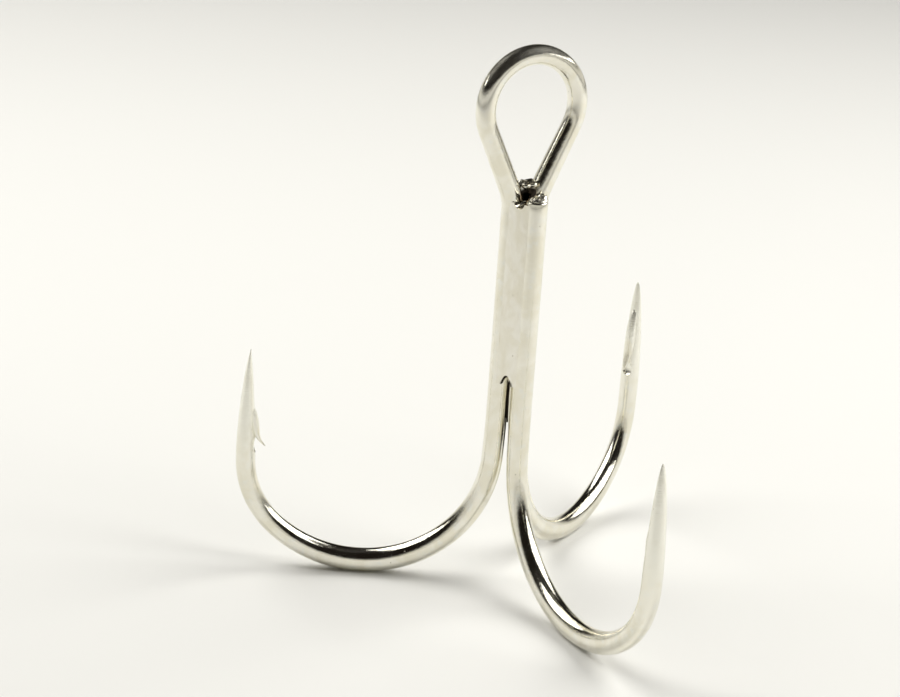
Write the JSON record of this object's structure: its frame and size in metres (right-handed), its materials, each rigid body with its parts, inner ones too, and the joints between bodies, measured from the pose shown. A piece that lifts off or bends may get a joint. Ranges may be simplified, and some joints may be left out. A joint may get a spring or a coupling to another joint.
{
  "type": "treble hook",
  "caption": "Barbed treble fishing hook in nickelled wire: a double hook with a teardrop eye and a single hook brazed along its shank.",
  "frame": {"origin": "centre of the eye's round top, in the middle of the eye's wire", "axes": "+Z along the shank towards the eye, eye in the XZ plane, single hook points to -Y, double hook's points stand at 30 and 150 degrees about +Z"},
  "size_m": [0.0359, 0.0313, 0.0417],
  "materials": {
    "plated_wire": "bright nickel plate on carbon steel wire, slightly warm",
    "plated_braze": "nickel plate over brazing filler, slightly duller and pitted"
  },
  "bodies": {
    "root": {"double_hook": "plated_wire", "single_hook": "plated_wire", "braze_left": "plated_braze", "braze_right": "plated_braze", "braze_back": "plated_braze", "braze_core": "plated_braze", "throat_bead": "plated_braze"}
  },
  "joints": []
}
